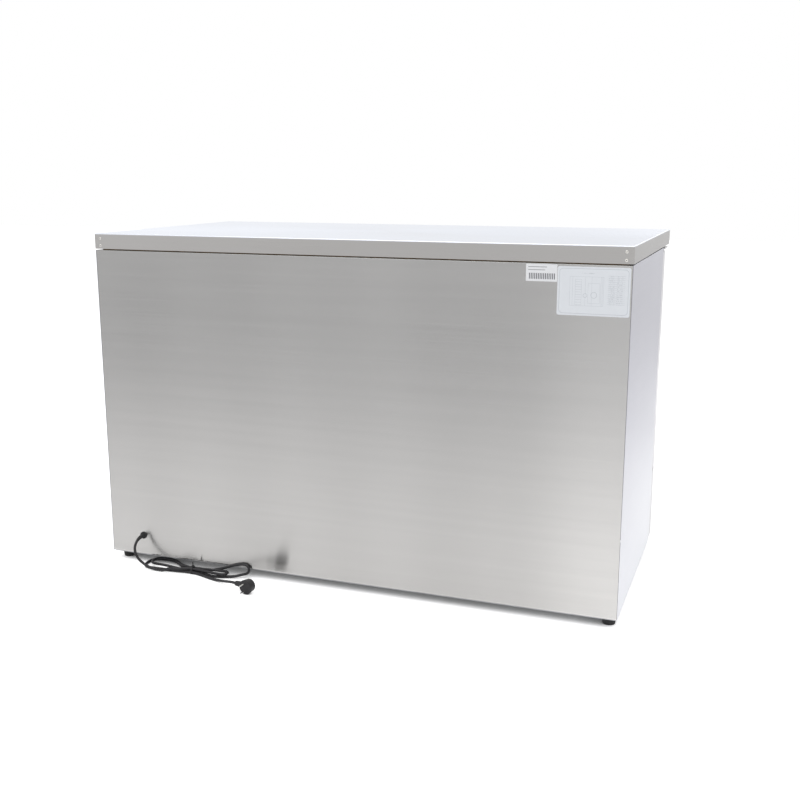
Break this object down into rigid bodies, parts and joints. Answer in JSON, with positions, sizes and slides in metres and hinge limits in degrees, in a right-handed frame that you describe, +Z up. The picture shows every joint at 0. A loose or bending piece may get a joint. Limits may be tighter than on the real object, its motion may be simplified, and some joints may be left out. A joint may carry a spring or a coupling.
{
  "type": "refrigerated counter",
  "caption": "Stainless steel refrigerated counter with hinged doors, a flat worktop, a louvred machine bay, rubber feet and a tied mains cord with plug at the back.",
  "frame": {"origin": "on the floor under the middle of the worktop", "axes": "+X along the counter, to the right for someone facing the doors; doors face -Y; +Z up"},
  "size_m": [1.371, 0.8228, 0.88],
  "materials": {
    "stainless": "brushed stainless sheet",
    "galvanised": "galvanised sheet",
    "plated_wire": "plated steel wire",
    "plain_steel": "plain steel",
    "rivet": "aluminium",
    "grip_aluminium": "anodised aluminium",
    "fins": "aluminium fins on copper tube",
    "copper": "copper tube",
    "board": "particle board",
    "foam": "rigid polyurethane foam",
    "white_plastic": "moulded plastic",
    "black_plastic": "moulded plastic",
    "grey_plastic": "moulded plastic",
    "black_paint": "black painted steel",
    "gasket_rubber": "soft vinyl",
    "black_rubber": "moulded rubber"
  },
  "bodies": {
    "cabinet": {"back_panel": "stainless", "base_pan": "galvanised", "cable_tie": "black_plastic", "compressor": "black_paint", "compressor_mounts": "black_rubber", "condenser_coil": "fins", "condenser_fan_motor": "black_paint", "condenser_shroud": "galvanised", "control_bezel": "black_plastic", "cord_grommet": "black_rubber", "cord_hank": "black_rubber", "cord_tail": "black_rubber", "drain_pipe": "grey_plastic", "electrical_box": "grey_plastic", "evaporator_coil": "fins", "evaporator_fan_motor": "black_paint", "evaporator_housing": "white_plastic", "front_frame": "stainless", "hinge_brackets_lower": "plain_steel", "hinge_brackets_upper": "plain_steel", "hinge_pins": "plain_steel", "inner_liner": "stainless", "insulation_foam": "foam", "mains_plug": "black_plastic", "power_cord": "black_rubber", "refrigerant_lines": "copper", "rubber_feet": "black_rubber", "service_panel": "stainless", "shelf_runners": "stainless", "shelf_uprights": "stainless", "side_panel_left": "stainless", "side_panel_right": "stainless", "unit_base": "galvanised", "wire_shelf_left": "plated_wire", "wire_shelf_middle": "plated_wire", "wire_shelf_right": "plated_wire", "worktop": "stainless", "worktop_core": "board", "worktop_rivets": "rivet"},
    "door_left": {"door_skin_left": "stainless", "door_core_left": "foam", "door_liner_left": "white_plastic", "door_gasket_left": "gasket_rubber", "door_grip_left": "grip_aluminium"},
    "door_middle": {"door_skin_middle": "stainless", "door_core_middle": "foam", "door_liner_middle": "white_plastic", "door_gasket_middle": "gasket_rubber", "door_grip_middle": "grip_aluminium"},
    "door_right": {"door_skin_right": "stainless", "door_core_right": "foam", "door_liner_right": "white_plastic", "door_gasket_right": "gasket_rubber", "door_grip_right": "grip_aluminium"},
    "evaporator_fan": {"evaporator_fan_rotor": "black_plastic"},
    "condenser_fan": {"condenser_fan_rotor": "grey_plastic"},
    "rocker": {"power_switch": "black_plastic"},
    "key_set": {"button_set": "grey_plastic"},
    "key_down": {"button_down": "grey_plastic"},
    "key_up": {"button_up": "grey_plastic"}
  },
  "joints": [
    {"name": "door_left_hinge", "type": "hinge", "parent": "cabinet", "child": "door_left", "pos_m": [-0.6705, -0.28, 0.526], "axis": [0, 0, -1], "range_deg": [0, 100], "stiffness_Nm_per_rad": 1},
    {"name": "door_middle_hinge", "type": "hinge", "parent": "cabinet", "child": "door_middle", "pos_m": [-0.21583, -0.28, 0.526], "axis": [0, 0, -1], "range_deg": [0, 100], "stiffness_Nm_per_rad": 1},
    {"name": "door_right_hinge", "type": "hinge", "parent": "cabinet", "child": "door_right", "pos_m": [0.6705, -0.28, 0.526], "axis": [0, 0, 1], "range_deg": [0, 100], "stiffness_Nm_per_rad": 1},
    {"name": "evaporator_fan_spin", "type": "hinge", "parent": "cabinet", "child": "evaporator_fan", "pos_m": [0, -0.0246, 0.7422], "axis": [0, -1, 0], "continuous": true},
    {"name": "condenser_fan_spin", "type": "hinge", "parent": "cabinet", "child": "condenser_fan", "pos_m": [0.2565, -0.1132, 0.1005], "axis": [0, 1, 0], "continuous": true},
    {"name": "power_switch_rock", "type": "hinge", "parent": "cabinet", "child": "rocker", "pos_m": [0.61, -0.2825, 0.123], "axis": [1, 0, 0], "range_deg": [-8, 8]},
    {"name": "button_set_press", "type": "slide", "parent": "cabinet", "child": "key_set", "axis": [0, 1, 0], "range_m": [0, 0.0008], "stiffness_N_per_m": 500},
    {"name": "button_down_press", "type": "slide", "parent": "cabinet", "child": "key_down", "axis": [0, 1, 0], "range_m": [0, 0.0008], "stiffness_N_per_m": 500},
    {"name": "button_up_press", "type": "slide", "parent": "cabinet", "child": "key_up", "axis": [0, 1, 0], "range_m": [0, 0.0008], "stiffness_N_per_m": 500}
  ]
}
